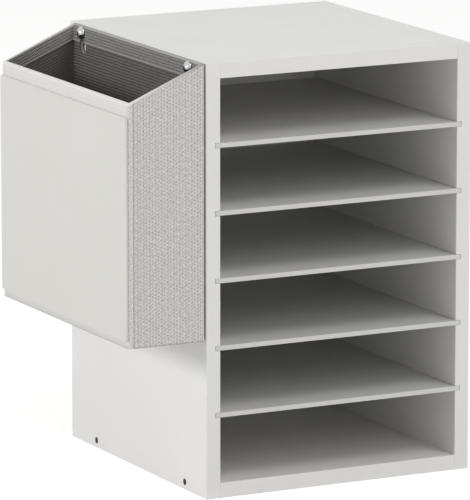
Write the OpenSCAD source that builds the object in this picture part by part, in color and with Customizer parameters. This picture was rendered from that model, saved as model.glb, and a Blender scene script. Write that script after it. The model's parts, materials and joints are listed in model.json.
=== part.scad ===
// Desktop file sorter: a laminate cabinet with six letter-size compartments on
// five pull-out shelves, and a fabric-covered pocket that hangs on two studs
// on its left side. Millimetres, +Z up, front towards -Y. The origin is the
// centre of the cabinet's base, on the desk.

/* [Cabinet] */
// Width over the side panels
cab_w = 310; // [250:1:400]
// Depth from front edge to rear edge
cab_d = 325; // [260:1:400]
// Height
cab_h = 457; // [370:1:560]
// Thickness of the side, top and bottom panels
panel_t = 16; // [13:0.5:20]
// Thickness of the strip glued on each front edge
band_t = 1; // [0.5:0.1:2]
// Thickness of the back panel
back_t = 3; // [2:0.5:5]
// How far the back panel lies in from the rear edge
back_recess = 2; // [2:0.5:6]
// Width of the ledge that the back panel is screwed to
back_ledge = 8; // [6:0.5:10]

/* [Shelves] */
// Thickness of a shelf
shelf_t = 5; // [3:0.5:8]
// Depth of the shelf grooves in the side panels
groove_depth = 5.5; // [4:0.5:8]
// Height of the shelves above an even division
shelf_rise = 1.2; // [-5:0.1:5]
// Room above and below a shelf in its groove
shelf_play = 0.15; // [0.1:0.05:0.5]
// Room at each end of a shelf, and behind it
shelf_end_play = 0.4; // [0.2:0.1:1]

/* [Corner joints] */
// Front corner screw to the front edge
screw_from_front = 51; // [40:1:60]
// Rear corner screw to the rear edge
screw_from_rear = 61; // [50:1:70]
// Radius of the screw's head and shank in the side panel
screw_head_r = 3.5; // [3:0.1:4]
// Radius of the screw's thread in the panel's end
screw_thread_r = 2.5; // [2:0.1:3]
// Length of a corner screw
screw_l = 50; // [35:1:60]
// How deep the screw heads lie in the side panels
screw_recess = 3; // [1:0.5:4]
// Distance from a corner screw to its dowel
dowel_step = 32; // [20:1:40]
// Radius of a dowel
dowel_r = 4; // [3:0.5:5]
// Length of a dowel
dowel_l = 30; // [20:1:40]
// Depth of a dowel in the side panel
dowel_in_side = 10; // [6:0.5:11]

/* [Pocket] */
// Width of the pocket over its fabric, away from the cabinet
pocket_w = 87; // [60:1:120]
// Height of the pocket at the cabinet
pocket_h = 290.5; // [200:0.5:340]
// Fall of the rim from the cabinet to the outer wall
rim_drop = 36.5; // [10:0.5:60]
// Height of the rim above the cabinet's top
pocket_rise = 1; // [-10:0.5:3]
// Gap between the pocket and the cabinet
pocket_gap = 2; // [1.5:0.1:5]
// Pocket's front end to the cabinet's front edge
pocket_front_inset = 1; // [0:0.5:20]
// Pocket's rear end to the cabinet's rear edge
pocket_rear_inset = 18; // [5:0.5:40]
// Thickness of the ribbed fabric
fabric_t = 1; // [0.6:0.1:1.5]
// Thickness of the stiffening boards
board_t = 2; // [1.5:0.1:4]
// Radius of the upright corners
corner_r = 3; // [2:0.5:8]
// Thickness of the smooth facing panel
facing_t = 2; // [1:0.5:4]
// Top of the facing panel below the outer rim
facing_top = 13.5; // [5:0.5:30]
// Bottom of the facing panel above the pocket's bottom
facing_bottom = 8.5; // [3:0.5:30]
// Ends of the facing panel from the pocket's ends
facing_end = 0.5; // [0:0.5:10]
// Width of the tape round the inside of the rim
tape_w = 16; // [8:0.5:20]
// Thickness of the tape
tape_t = 1; // [0.5:0.1:2]

/* [Hanging studs] */
// Stud axis below the cabinet's top
stud_drop = 7; // [6:0.5:8]
// Stud axis from the pocket's end
stud_inset = 26; // [20:1:60]
// Radius of the domed head
head_r = 7; // [5:0.5:8]
// Height of the domed head
head_h = 5; // [3:0.5:7]
// Radius of the neck that the pocket hangs on
neck_r = 2.5; // [2:0.1:3]
// How far the pocket lifts before the heads pass its holes
lift = 15; // [14:0.5:20]
// Radius of the threaded inserts
insert_r = 4; // [3.5:0.1:5]
// Length of the threaded inserts
insert_l = 10; // [6:0.5:12]
// Radius of the washers between pocket and cabinet
washer_r = 6; // [4:0.5:8]

/* [Hidden] */

$fn = 64;
// Clearances
wood_fit = 0.05;       // a screw or dowel in its drilled hole
seat_gap = 0.2;        // the hung pocket to the stud heads and washers
plate_fit = 0.1;       // a keyhole plate in its recess, and a neck in its slot
back_play = 0.5;       // the back panel in its rebate
through = 1;           // how far a cut runs past a face

// Cabinet places
half_w = cab_w / 2;
half_d = cab_d / 2;
inner_half_w = half_w - panel_t;
panel_front = -half_d + band_t;
rebate_y = half_d - back_recess - back_t;
shelf_count = 5;
shelf_pitch = (cab_h - 2 * panel_t) / (shelf_count + 1);
shelf_half_w = inner_half_w + groove_depth - shelf_end_play;
screw_ys = [-half_d + screw_from_front, half_d - screw_from_rear];
dowel_ys = [screw_ys[0] + dowel_step, screw_ys[1] - dowel_step];
joint_zs = [panel_t / 2, cab_h - panel_t / 2];
socket_r = 2.3;
socket_depth = 3;

// Small screws that hold the back panel
back_screw_r = 1.25;
back_screw_l = 12;
back_head_r = 2.8;
back_head_h = 1.6;
back_screw_x = inner_half_w + back_ledge / 2;
back_screw_rows = [0.5, 2.5, 3.5, 5.5];
back_screw_cols = [-80, 0, 80];

// Pocket places
pocket_in = -half_w - pocket_gap;
pocket_out = pocket_in - pocket_w;
pocket_front = -half_d + pocket_front_inset;
pocket_rear = half_d - pocket_rear_inset;
pocket_top = cab_h + pocket_rise;
pocket_bottom = pocket_top - pocket_h;
outer_rim = pocket_top - rim_drop;
board_in = fabric_t;
lining_in = board_in + board_t;
tape_in = lining_in + fabric_t;
wall_in = tape_in + tape_t;
tape_below_rim = 0.6;
facing_corner_r = 3;

// Stud and keyhole places
stud_z = cab_h - stud_drop;
stud_ys = [pocket_front + stud_inset, pocket_rear - stud_inset];
head_seat = pocket_in - wall_in - seat_gap;
head_edge = 0.8;
thread_l = insert_l - 1;
entry_r = head_r + 0.6;
slot_r = neck_r + 0.5;
plate_t = 1;
plate_half_w = entry_r + 4;
plate_top = stud_z + neck_r + 3;
plate_bottom = stud_z - lift - entry_r - 4;
washer_t = pocket_gap - seat_gap;
pad_size = 20;
pad_up = 14;

// Height of shelf i, counted from 1 at the bottom, to its middle
function shelf_z(i) = panel_t + i * shelf_pitch + shelf_rise;
// Height of the pocket's rim at x
function rim_z(x) = pocket_top - rim_drop * (pocket_in - x) / pocket_w;

// A box given by two opposite corners
module block(a, b) {
    translate(a) cube(b - a);
}

// A cylinder along X from x0 to x1
module rod_x(x0, x1, y, z, r) {
    translate([min(x0, x1), y, z]) rotate([0, 90, 0]) cylinder(r = r, h = abs(x1 - x0));
}

// A cylinder along Y from y0 to y1
module rod_y(y0, y1, x, z, r) {
    translate([x, y1, z]) rotate([90, 0, 0]) cylinder(r = r, h = y1 - y0);
}

// A rectangle with round corners, from corner a to corner b
module round_rect(a, b, r) {
    if (r > 0) {
        translate([a.x + r, a.y]) square([b.x - a.x - 2 * r, b.y - a.y]);
        translate([a.x, a.y + r]) square([b.x - a.x, b.y - a.y - 2 * r]);
        for (x = [a.x + r, b.x - r], y = [a.y + r, b.y - r]) translate([x, y]) circle(r);
    } else {
        translate(a) square(b - a);
    }
}

// A plate across X, from x0 to x0 + t, with round corners
module plate_x(x0, t, a, b, r) {
    translate([x0, 0, 0]) rotate([90, 0, 90]) linear_extrude(t) round_rect(a, b, r);
}

// Holes in a panel pair: dowels and screws along X on the side s
module dowel_holes(s) {
    for (y = dowel_ys, z = joint_zs)
        rod_x(s * (inner_half_w + dowel_in_side + wood_fit),
              s * (inner_half_w + dowel_in_side - dowel_l - wood_fit), y, z, dowel_r + wood_fit);
}

module screw_holes(s) {
    for (y = screw_ys, z = joint_zs) {
        rod_x(s * (half_w + through), s * inner_half_w, y, z, screw_head_r + wood_fit);
        rod_x(s * (inner_half_w + wood_fit), s * (half_w - screw_recess - screw_l - wood_fit),
              y, z, screw_thread_r + wood_fit);
    }
}

// The rebate all round the rear opening, which the back panel lies in
module back_rebate() {
    block([-inner_half_w - back_ledge, rebate_y, panel_t - back_ledge],
          [inner_half_w + back_ledge, half_d + through, cab_h - panel_t + back_ledge]);
}

// Every place of a back panel screw, as [x, z]
back_screw_places = concat(
    [for (s = [-1, 1], n = back_screw_rows) [s * back_screw_x, panel_t + n * shelf_pitch]],
    [for (x = back_screw_cols, z = [panel_t - back_ledge / 2, cab_h - panel_t + back_ledge / 2])
        [x, z]]);

module back_screw_holes(r) {
    for (p = back_screw_places)
        rod_y(rebate_y + back_t - back_screw_l - wood_fit, half_d + through, p[0], p[1], r);
}

// Shelf grooves in the side s, open at the front and running into the rebate
module shelf_grooves(s) {
    for (i = [1:shelf_count])
        block([min(s * (inner_half_w - through), s * (inner_half_w + groove_depth)),
               -half_d - through, shelf_z(i) - shelf_t / 2 - shelf_play],
              [max(s * (inner_half_w - through), s * (inner_half_w + groove_depth)),
               rebate_y + through, shelf_z(i) + shelf_t / 2 + shelf_play]);
}

module side_panel(s) {
    difference() {
        block([min(s * inner_half_w, s * half_w), panel_front, 0],
              [max(s * inner_half_w, s * half_w), half_d, cab_h]);
        shelf_grooves(s);
        back_rebate();
        back_screw_holes(back_screw_r + wood_fit);
        dowel_holes(s);
        screw_holes(s);
    }
}

module left_side_panel() {
    color("whitesmoke") difference() {
        side_panel(-1);
        for (y = stud_ys)
            rod_x(-half_w - through, -half_w + insert_l + wood_fit, y, stud_z, insert_r + wood_fit);
    }
}

module right_side_panel() {
    color("whitesmoke") side_panel(1);
}

// The panel between the sides whose lower face is at z
module cross_panel(z) {
    difference() {
        block([-inner_half_w, panel_front, z], [inner_half_w, half_d, z + panel_t]);
        back_rebate();
        back_screw_holes(back_screw_r + wood_fit);
        for (s = [-1, 1]) {
            dowel_holes(s);
            screw_holes(s);
        }
    }
}

module top_panel() {
    color("white") cross_panel(cab_h - panel_t);
}

module bottom_panel() {
    color("white") cross_panel(0);
}

module back_panel() {
    color("gainsboro") difference() {
        block([-inner_half_w - back_ledge + back_play, rebate_y, panel_t - back_ledge + back_play],
              [inner_half_w + back_ledge - back_play, rebate_y + back_t,
               cab_h - panel_t + back_ledge - back_play]);
        back_screw_holes(back_screw_r + 4 * wood_fit);
    }
}

// The strip on the front edge of the side s, notched where the grooves run out
module side_band(s) {
    difference() {
        block([min(s * inner_half_w, s * half_w), -half_d, 0],
              [max(s * inner_half_w, s * half_w), panel_front, cab_h]);
        shelf_grooves(s);
    }
}

module left_edge_band() {
    color("white") side_band(-1);
}

module right_edge_band() {
    color("white") side_band(1);
}

module cross_band(z) {
    block([-inner_half_w, -half_d, z], [inner_half_w, panel_front, z + panel_t]);
}

module top_edge_band() {
    color("white") cross_band(cab_h - panel_t);
}

module bottom_edge_band() {
    color("white") cross_band(0);
}

// Shelf i, flush with the front edges
module shelf(i) {
    color("lightgray")
        block([-shelf_half_w, -half_d, shelf_z(i) - shelf_t / 2],
              [shelf_half_w, rebate_y - shelf_end_play, shelf_z(i) + shelf_t / 2]);
}

// One-piece connector screws with a hex socket, two at each corner joint
module corner_screws() {
    head_x = half_w - screw_recess;
    color("dimgray")
        for (s = [-1, 1], y = screw_ys, z = joint_zs) difference() {
            union() {
                rod_x(s * head_x, s * inner_half_w, y, z, screw_head_r);
                rod_x(s * inner_half_w, s * (head_x - screw_l), y, z, screw_thread_r);
            }
            translate([s * (head_x - socket_depth / 2 + through / 2), y, z]) rotate([0, 90, 0])
                cylinder(r = socket_r, h = socket_depth + through, center = true, $fn = 6);
        }
}

// Wooden dowels with bevelled ends, two at each corner joint
module corner_dowels() {
    bevel = 1;
    color("burlywood")
        for (s = [-1, 1], y = dowel_ys, z = joint_zs)
            translate([s * (inner_half_w + dowel_in_side - dowel_l / 2), y, z]) rotate([0, 90, 0])
                rotate_extrude() polygon([[0, -dowel_l / 2], [dowel_r - bevel, -dowel_l / 2],
                    [dowel_r, -dowel_l / 2 + bevel], [dowel_r, dowel_l / 2 - bevel],
                    [dowel_r - bevel, dowel_l / 2], [0, dowel_l / 2]]);
}

module back_screws() {
    seat = rebate_y + back_t;
    color("silver")
        for (p = back_screw_places) {
            rod_y(seat - back_screw_l, seat, p[0], p[1], back_screw_r);
            rod_y(seat, seat + back_head_h, p[0], p[1], back_head_r);
        }
}

// Plan of the pocket, drawn in by inset from its outside
module pocket_plan(inset) {
    round_rect([pocket_out + inset, pocket_front + inset],
               [pocket_in - inset, pocket_rear - inset], max(corner_r - inset, 0));
}

// The pocket's plan raised from z_low to below_rim under the sloping rim
module pocket_block(inset, z_low, below_rim) {
    reach = 5;
    intersection() {
        translate([0, 0, z_low]) linear_extrude(pocket_top + through - z_low) pocket_plan(inset);
        rotate([90, 0, 0]) linear_extrude(2 * cab_d, center = true)
            polygon([[pocket_out - reach, z_low - through], [pocket_in + reach, z_low - through],
                     [pocket_in + reach, rim_z(pocket_in + reach) - below_rim],
                     [pocket_out - reach, rim_z(pocket_out - reach) - below_rim]]);
    }
}

// Keyholes through the pocket's back wall: a round way in for a stud's head,
// and a slot of radius r above it that ends on the neck
module keyholes(r, way_in) {
    x0 = pocket_in - wall_in - through;
    x1 = pocket_in + through;
    for (y = stud_ys) {
        rod_x(x0, x1, y, stud_z - lift, way_in);
        rod_x(x0, x1, y, stud_z, r);
        block([x0, y - r, stud_z - lift], [x1, y + r, stud_z]);
    }
}

// The four upright walls of board as one ring, under the turned-over fabric
module board_ring() {
    difference() {
        pocket_block(board_in, pocket_bottom + lining_in, fabric_t);
        pocket_block(lining_in, pocket_bottom, -through);
    }
}

module plate_recess(play) {
    for (y = stud_ys)
        block([pocket_in - board_in - plate_t - play, y - plate_half_w - play, plate_bottom - play],
              [pocket_in - board_in + (play > 0 ? through : 0), y + plate_half_w + play,
               plate_top + play]);
}

module pocket_back_board() {
    color("tan") difference() {
        intersection() {
            board_ring();
            block([pocket_in - lining_in, pocket_front + lining_in, pocket_bottom],
                  [pocket_in, pocket_rear - lining_in, pocket_top]);
        }
        keyholes(slot_r, entry_r);
        plate_recess(plate_fit);
    }
}

module pocket_outer_board() {
    color("tan") intersection() {
        board_ring();
        block([pocket_out, pocket_front + lining_in, pocket_bottom],
              [pocket_out + lining_in, pocket_rear - lining_in, pocket_top]);
    }
}

module pocket_front_board() {
    color("tan") intersection() {
        board_ring();
        block([pocket_out, pocket_front, pocket_bottom],
              [pocket_in, pocket_front + lining_in, pocket_top]);
    }
}

module pocket_rear_board() {
    color("tan") intersection() {
        board_ring();
        block([pocket_out, pocket_rear - lining_in, pocket_bottom],
              [pocket_in, pocket_rear, pocket_top]);
    }
}

module pocket_base_board() {
    color("tan") translate([0, 0, pocket_bottom + board_in])
        linear_extrude(board_t) pocket_plan(board_in);
}

// Outer fabric, which also turns over the boards' top edges
module pocket_cover() {
    color("lightgray") difference() {
        pocket_block(0, pocket_bottom, 0);
        pocket_block(board_in, pocket_bottom + board_in, fabric_t);
        pocket_block(lining_in, pocket_bottom + board_in, -through);
        keyholes(slot_r, entry_r);
    }
}

module pocket_lining() {
    color("gray") difference() {
        pocket_block(lining_in, pocket_bottom + lining_in, 0);
        pocket_block(tape_in, pocket_bottom + tape_in, -through);
        keyholes(slot_r, entry_r);
    }
}

// Tape glued round the inside, just under the rim
module rim_tape() {
    color("silver") difference() {
        pocket_block(tape_in, pocket_bottom, tape_below_rim);
        pocket_block(wall_in, pocket_bottom - through, -through);
        pocket_block(0, pocket_bottom - through, tape_below_rim + tape_w);
        keyholes(slot_r, entry_r);
    }
}

module facing_panel() {
    color("ivory")
        plate_x(pocket_out - facing_t, facing_t,
                [pocket_front + facing_end, pocket_bottom + facing_bottom],
                [pocket_rear - facing_end, outer_rim - facing_top], facing_corner_r);
}

// Steel plates let into the back board, which carry the pocket on the studs
module keyhole_plates() {
    color("slategray") difference() {
        plate_recess(0);
        keyholes(neck_r + plate_fit, entry_r);
    }
}

// Felt pads that keep the pocket's lower edge off the cabinet
module pocket_pads() {
    color("darkslategray")
        for (y = [pocket_front + stud_inset, pocket_rear - stud_inset])
            block([pocket_in, y - pad_size / 2, pocket_bottom + pad_up],
                  [pocket_in + pocket_gap - seat_gap / 2, y + pad_size / 2,
                   pocket_bottom + pad_up + pad_size]);
}

// Chrome-plated shoulder screws: domed head, neck and thread in one
module hanging_studs() {
    dome_h = head_h - head_edge;
    dome_r = (head_r * head_r + dome_h * dome_h) / (2 * dome_h);
    color("lightsteelblue")
        for (y = stud_ys) {
            rod_x(head_seat - head_edge, head_seat, y, stud_z, head_r);
            translate([head_seat - head_edge, y, stud_z]) rotate([0, -90, 0]) rotate_extrude()
                intersection() {
                    translate([0, dome_h - dome_r]) circle(dome_r, $fn = 96);
                    square([head_r, dome_h]);
                }
            rod_x(head_seat, -half_w, y, stud_z, neck_r);
            rod_x(-half_w, -half_w + thread_l, y, stud_z, neck_r);
        }
}

module stud_washers() {
    color("gainsboro") difference() {
        for (y = stud_ys) rod_x(-half_w - washer_t, -half_w, y, stud_z, washer_r);
        for (y = stud_ys)
            rod_x(-half_w - washer_t - through, -half_w + through, y, stud_z, neck_r + wood_fit);
    }
}

module stud_inserts() {
    color("goldenrod") difference() {
        for (y = stud_ys) rod_x(-half_w, -half_w + insert_l, y, stud_z, insert_r);
        for (y = stud_ys)
            rod_x(-half_w - through, -half_w + insert_l + through, y, stud_z, neck_r + wood_fit);
    }
}

left_side_panel();
right_side_panel();
top_panel();
bottom_panel();
back_panel();
left_edge_band();
right_edge_band();
top_edge_band();
bottom_edge_band();
shelf(1);  // shelf_1
shelf(2);  // shelf_2
shelf(3);  // shelf_3
shelf(4);  // shelf_4
shelf(5);  // shelf_5
corner_screws();
corner_dowels();
back_screws();
pocket_back_board();
pocket_outer_board();
pocket_front_board();
pocket_rear_board();
pocket_base_board();
pocket_cover();
pocket_lining();
rim_tape();
facing_panel();
keyhole_plates();
pocket_pads();
hanging_studs();
stud_washers();
stud_inserts();
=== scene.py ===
"""Looks of the desktop file sorter: a white laminate cabinet with five pull-out
shelves, and a pocket covered in ribbed knit that hangs on its left side.

Metres, +Z up, front towards -Y, origin at the centre of the cabinet's base.
"""

import json
import logging
from collections.abc import Callable, Iterable, Sequence
from dataclasses import dataclass, field
from enum import IntEnum
from math import asin, atan2, ceil, cos, exp, floor, hypot, pi, radians, sin, sqrt, tau

import bmesh
import bpy
from mathutils import Matrix, Vector, noise

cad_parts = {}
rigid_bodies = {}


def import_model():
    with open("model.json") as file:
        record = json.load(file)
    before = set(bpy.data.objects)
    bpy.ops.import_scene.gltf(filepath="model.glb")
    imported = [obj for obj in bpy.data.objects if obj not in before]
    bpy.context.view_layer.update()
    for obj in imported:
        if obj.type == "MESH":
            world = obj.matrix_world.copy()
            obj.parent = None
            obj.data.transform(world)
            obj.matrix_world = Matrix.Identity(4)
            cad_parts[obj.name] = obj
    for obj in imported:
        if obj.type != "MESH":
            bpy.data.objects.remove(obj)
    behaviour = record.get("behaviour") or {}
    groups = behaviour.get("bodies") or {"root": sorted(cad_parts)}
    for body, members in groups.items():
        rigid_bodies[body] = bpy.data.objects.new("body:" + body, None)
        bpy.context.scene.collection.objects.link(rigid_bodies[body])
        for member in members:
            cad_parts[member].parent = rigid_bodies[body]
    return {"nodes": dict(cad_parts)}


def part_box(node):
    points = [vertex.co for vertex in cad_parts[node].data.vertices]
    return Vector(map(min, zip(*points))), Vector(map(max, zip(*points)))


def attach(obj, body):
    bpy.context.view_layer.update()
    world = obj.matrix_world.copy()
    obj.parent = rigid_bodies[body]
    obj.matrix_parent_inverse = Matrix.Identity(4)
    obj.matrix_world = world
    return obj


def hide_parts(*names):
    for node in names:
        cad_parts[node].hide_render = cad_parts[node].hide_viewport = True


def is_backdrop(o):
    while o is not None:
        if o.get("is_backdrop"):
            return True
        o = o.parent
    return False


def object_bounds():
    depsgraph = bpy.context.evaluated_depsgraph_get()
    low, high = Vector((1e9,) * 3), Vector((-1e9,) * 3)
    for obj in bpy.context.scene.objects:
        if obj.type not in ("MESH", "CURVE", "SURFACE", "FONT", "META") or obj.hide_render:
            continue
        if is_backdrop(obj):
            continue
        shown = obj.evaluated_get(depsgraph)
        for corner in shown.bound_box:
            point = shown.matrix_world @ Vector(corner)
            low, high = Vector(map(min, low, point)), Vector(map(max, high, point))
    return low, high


for leftover in list(bpy.data.objects):
    bpy.data.objects.remove(leftover)
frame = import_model()
CAD_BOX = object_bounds()

LOG = logging.getLogger("file_sorter")
MM = 0.001

Profile = Sequence[tuple[float, float]]
Points = list[tuple[float, float]]
Triple = tuple[float, float, float]
Pile = Callable[[float, float], float]
Shape = bmesh.types.BMesh
Vert = bmesh.types.BMVert
Edge = bmesh.types.BMEdge
Thing = bpy.types.Object
Tree = bpy.types.NodeTree
Socket = bpy.types.NodeSocket


class Mix(IntEnum):
    """Sockets of Blender's colour mix node, by place in its lists."""

    FACTOR = 0
    FIRST = 6
    SECOND = 7
    RESULT = 2


def linear(hex_colour: str) -> tuple[float, float, float, float]:
    """Turn an sRGB colour into the linear values that shaders use.

    Args:
        hex_colour: Six hex digits, such as "dfdfde".

    Returns:
        Red, green, blue and a full alpha.
    """
    parts = [int(hex_colour[i : i + 2], 16) / 255 for i in (0, 2, 4)]
    red, green, blue = (
        p / 12.92 if p <= 0.04045 else ((p + 0.055) / 1.055) ** 2.4 for p in parts
    )
    return red, green, blue, 1.0


def add_node(
    tree: Tree, kind: str, inputs: dict | None = None, **settings: object
) -> bpy.types.Node:
    """Add one node, set it up and link what feeds it.

    Args:
        tree: Node tree that the node goes into.
        kind: Blender's name for the kind of node, after its usual prefix.
        inputs: Input name or place, and its fixed value or the socket that feeds it.
        **settings: The node's own properties.

    Returns:
        The new node.
    """
    node = tree.nodes.new("ShaderNode" + kind)
    for key, value in settings.items():
        setattr(node, key, value)
    for key, value in (inputs or {}).items():
        if isinstance(value, Socket):
            tree.links.new(value, node.inputs[key])
        else:
            node.inputs[key].default_value = value
    return node


def cleared(owner: bpy.types.Material | bpy.types.World) -> Tree:
    """Give a material or world an empty node tree.

    Args:
        owner: The material or world.

    Returns:
        Its node tree.
    """
    owner.use_nodes = True
    owner.node_tree.nodes.clear()
    return owner.node_tree


def per_metre(size_mm: float) -> float:
    """Texture scale at which one feature measures size_mm."""
    return 1000.0 / size_mm


# ---------------------------------------------------------------- finishes


@dataclass(frozen=True)
class Finish:
    """A real material and its surface.

    Attributes:
        name: The material's name and how it was made.
        colour: Its main sRGB colour.
        shade: The colour that it drifts to in patches.
        patch_mm: Size of the patches.
        roughness: Middle roughness.
        spread: How far the roughness drifts either way.
        grain_mm: Size of the surface grain.
        grain_depth_mm: Height of the grain.
        metallic: 1 for a bare metal.
        sheen: Weight of the fibre sheen.
    """

    name: str
    colour: str
    shade: str
    patch_mm: float
    roughness: float
    spread: float
    grain_mm: float
    grain_depth_mm: float
    metallic: float = 0.0
    sheen: float = 0.0

    def tint(self, tree: Tree, place: Socket) -> Socket:
        """Colour over the surface: soft patches between the two colours.

        Args:
            tree: The material's node tree.
            place: Object coordinates.

        Returns:
            The colour.
        """
        patches = add_node(
            tree, "TexNoise",
            {"Vector": place, "Scale": per_metre(self.patch_mm), "Detail": 4.0},
        )
        return add_node(tree, "Mix", {
            Mix.FACTOR: patches.outputs["Fac"], Mix.FIRST: linear(self.colour),
            Mix.SECOND: linear(self.shade),
        }, data_type="RGBA").outputs[Mix.RESULT]

    def relief(self, tree: Tree, place: Socket) -> Socket:
        """Height over the surface, from 0 to 1: a fine even grain.

        Args:
            tree: The material's node tree.
            place: Object coordinates.

        Returns:
            The height.
        """
        return add_node(
            tree, "TexNoise",
            {"Vector": place, "Scale": per_metre(self.grain_mm), "Detail": 3.0},
        ).outputs["Fac"]

    def material(self) -> bpy.types.Material:
        """Make the material, or find it where it was made before.

        Returns:
            The Blender material.
        """
        made = bpy.data.materials.get(self.name)
        if made is not None:
            return made
        made = bpy.data.materials.new(self.name)
        tree = cleared(made)
        place = add_node(tree, "TexCoord").outputs["Object"]
        worn = add_node(
            tree, "TexNoise",
            {"Vector": place, "Scale": per_metre(self.patch_mm * 0.7), "Detail": 5.0},
        )
        rough = add_node(tree, "MapRange", {
            "Value": worn.outputs["Fac"], "From Min": 0.3, "From Max": 0.7,
            "To Min": self.roughness - self.spread, "To Max": self.roughness + self.spread,
        })
        bump = add_node(tree, "Bump", {
            "Height": self.relief(tree, place), "Strength": 1.0,
            "Distance": self.grain_depth_mm * MM,
        })
        shader = add_node(tree, "BsdfPrincipled", {
            "Base Color": self.tint(tree, place), "Metallic": self.metallic,
            "Roughness": rough.outputs["Result"], "Sheen Weight": self.sheen,
            "Normal": bump.outputs["Normal"],
        })
        add_node(tree, "OutputMaterial", {"Surface": shader.outputs["BSDF"]})
        return made


@dataclass(frozen=True)
class PressedLaminate(Finish):
    """Melamine paper pressed hot on chipboard: a faint pearl of flat-topped dimples."""

    def relief(self, tree: Tree, place: Socket) -> Socket:
        """Shallow cells of the press plate, blurred by finer grain.

        Args:
            tree: The material's node tree.
            place: Object coordinates.

        Returns:
            The height.
        """
        cells = add_node(
            tree, "TexVoronoi", {"Vector": place, "Scale": per_metre(self.grain_mm)},
            feature="SMOOTH_F1",
        )
        fine = add_node(
            tree, "TexNoise",
            {"Vector": place, "Scale": per_metre(self.grain_mm * 0.4), "Detail": 2.0},
        )
        return add_node(
            tree, "Math", {0: cells.outputs["Distance"], 1: fine.outputs["Fac"]},
            operation="MULTIPLY",
        ).outputs["Value"]


@dataclass(frozen=True)
class DrawnStrip(Finish):
    """A strip or rod with faint lines along its length.

    Attributes:
        stretch: Scale of the grain along each axis; small along the lines.
    """

    stretch: Triple = (1.0, 1.0, 0.02)

    def relief(self, tree: Tree, place: Socket) -> Socket:
        """Die lines, drawn as noise stretched along the strip.

        Args:
            tree: The material's node tree.
            place: Object coordinates.

        Returns:
            The height.
        """
        along = add_node(tree, "Mapping", {"Vector": place, "Scale": self.stretch})
        return add_node(tree, "TexNoise", {
            "Vector": along.outputs["Vector"], "Scale": per_metre(self.grain_mm), "Detail": 3.0,
        }).outputs["Fac"]


@dataclass(frozen=True)
class Woven(Finish):
    """A plain weave of two sets of threads.

    Attributes:
        coarser: Times wider than grain_mm that threads are drawn.
    """

    coarser: float = tau

    def relief(self, tree: Tree, place: Socket) -> Socket:
        """Threads one way times threads the other way, a little uneven.

        Args:
            tree: The material's node tree.
            place: Object coordinates.

        Returns:
            The height.
        """
        ways = []
        for direction in ("Y", "Z"):
            ways.append(
                add_node(tree, "TexWave", {
                    "Vector": place, "Scale": per_metre(self.grain_mm * self.coarser) * pi / 10,
                    "Distortion": 0.6, "Detail": 2.0, "Detail Scale": 1.5,
                }, bands_direction=direction).outputs["Fac"]
            )
        return add_node(
            tree, "Math", {0: ways[0], 1: ways[1]}, operation="ADD"
        ).outputs["Value"]


@dataclass(frozen=True)
class RibbedKnit(Finish):
    """Polyester rib knit, coloured by the height of its yarn: painted shade down in the
    grooves, a painted highlight on the crests.

    Attributes:
        deep: Painted shade: the colour at the bottom of a groove or stitch hole.
        crest: Painted highlight: the colour of the highest yarn.
        fleck_mm: Size of the light and dark flecks of the mixed yarn.
        flecks: How strongly they show.
        loop_mm: Length of a loop along its row.
        loops: How strongly the loops show.
    """

    # deep is painted shade and crest a painted highlight, picked by the yarn's height.
    deep: str = "8e8c8a"
    crest: str = "e6e4e2"
    fleck_mm: float = 1.3
    flecks: float = 0.6
    loop_mm: float = 2.6
    loops: float = 0.0

    def tint(self, tree: Tree, place: Socket) -> Socket:
        """Colour by how high the yarn stands, over soft patches: painted shade where it is low,
        a painted highlight where it is high.

        Args:
            tree: The material's node tree.
            place: Object coordinates.

        Returns:
            The colour.
        """
        base = super().tint(tree, place)
        pile_shade = add_node(
            tree, "Attribute", attribute_name="pile_shade", attribute_type="GEOMETRY"
        ).outputs["Fac"]
        mixed = add_node(tree, "TexNoise", {
            "Vector": place, "Scale": per_metre(self.fleck_mm), "Detail": 1.0,
        })
        rows = add_node(
            tree, "TexWave", {"Vector": place, "Scale": per_metre(self.loop_mm) * tau / 10},
            bands_direction="DIAGONAL",
        )
        for uneven, weight in ((mixed, self.flecks), (rows, self.loops)):
            shift = add_node(
                tree, "Math", {0: uneven.outputs["Fac"], 1: 0.5}, operation="SUBTRACT"
            )
            pile_shade = add_node(
                tree, "Math", {0: shift.outputs["Value"], 1: weight, 2: pile_shade},
                operation="MULTIPLY_ADD",
            ).outputs["Value"]
        # Painted shade towards the deep colour for low yarn, painted highlight towards the
        # highlight colour for high yarn.
        low = add_node(tree, "MapRange", {"Value": pile_shade, "From Min": 0.0, "From Max": 0.6})
        high = add_node(tree, "MapRange", {"Value": pile_shade, "From Min": 0.6, "From Max": 1.2})
        dark = add_node(
            tree, "Mix",
            {Mix.FACTOR: low.outputs["Result"], Mix.FIRST: linear(self.deep), Mix.SECOND: base},
            data_type="RGBA",
        )
        return add_node(tree, "Mix", {
            Mix.FACTOR: high.outputs["Result"], Mix.FIRST: dark.outputs[Mix.RESULT],
            Mix.SECOND: linear(self.crest),
        }, data_type="RGBA").outputs[Mix.RESULT]


# White melamine: an even, slightly warm white that stays soft, never glossy.
LAMINATE = PressedLaminate(
    "white_melamine_laminate_pressed", "e7e6e5", "e4e3e2", 60, 0.42, 0.05, 1.6, 0.05
)
# ABS strip: the same white a touch cooler and flatter, with die lines.
EDGE_STRIP = DrawnStrip(
    "white_abs_edge_strip_drawn", "e5e4e3", "e2e1e0", 25, 0.48, 0.04, 1.2, 0.03
)
# Coated thin MDF: a little greyer than the cabinet, orange peel from the roller.
SHELF_BOARD = Finish("white_coated_mdf_rolled", "d2d2cf", "cecdca", 45, 0.5, 0.05, 2.2, 0.06)
# Painted hardboard: dull, with the mesh of the press screen.
HARDBOARD = Woven(
    "painted_hardboard_screen_pressed", "d4d3d0", "cdccc8", 30, 0.62, 0.05, 1.8, 0.08
)
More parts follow.
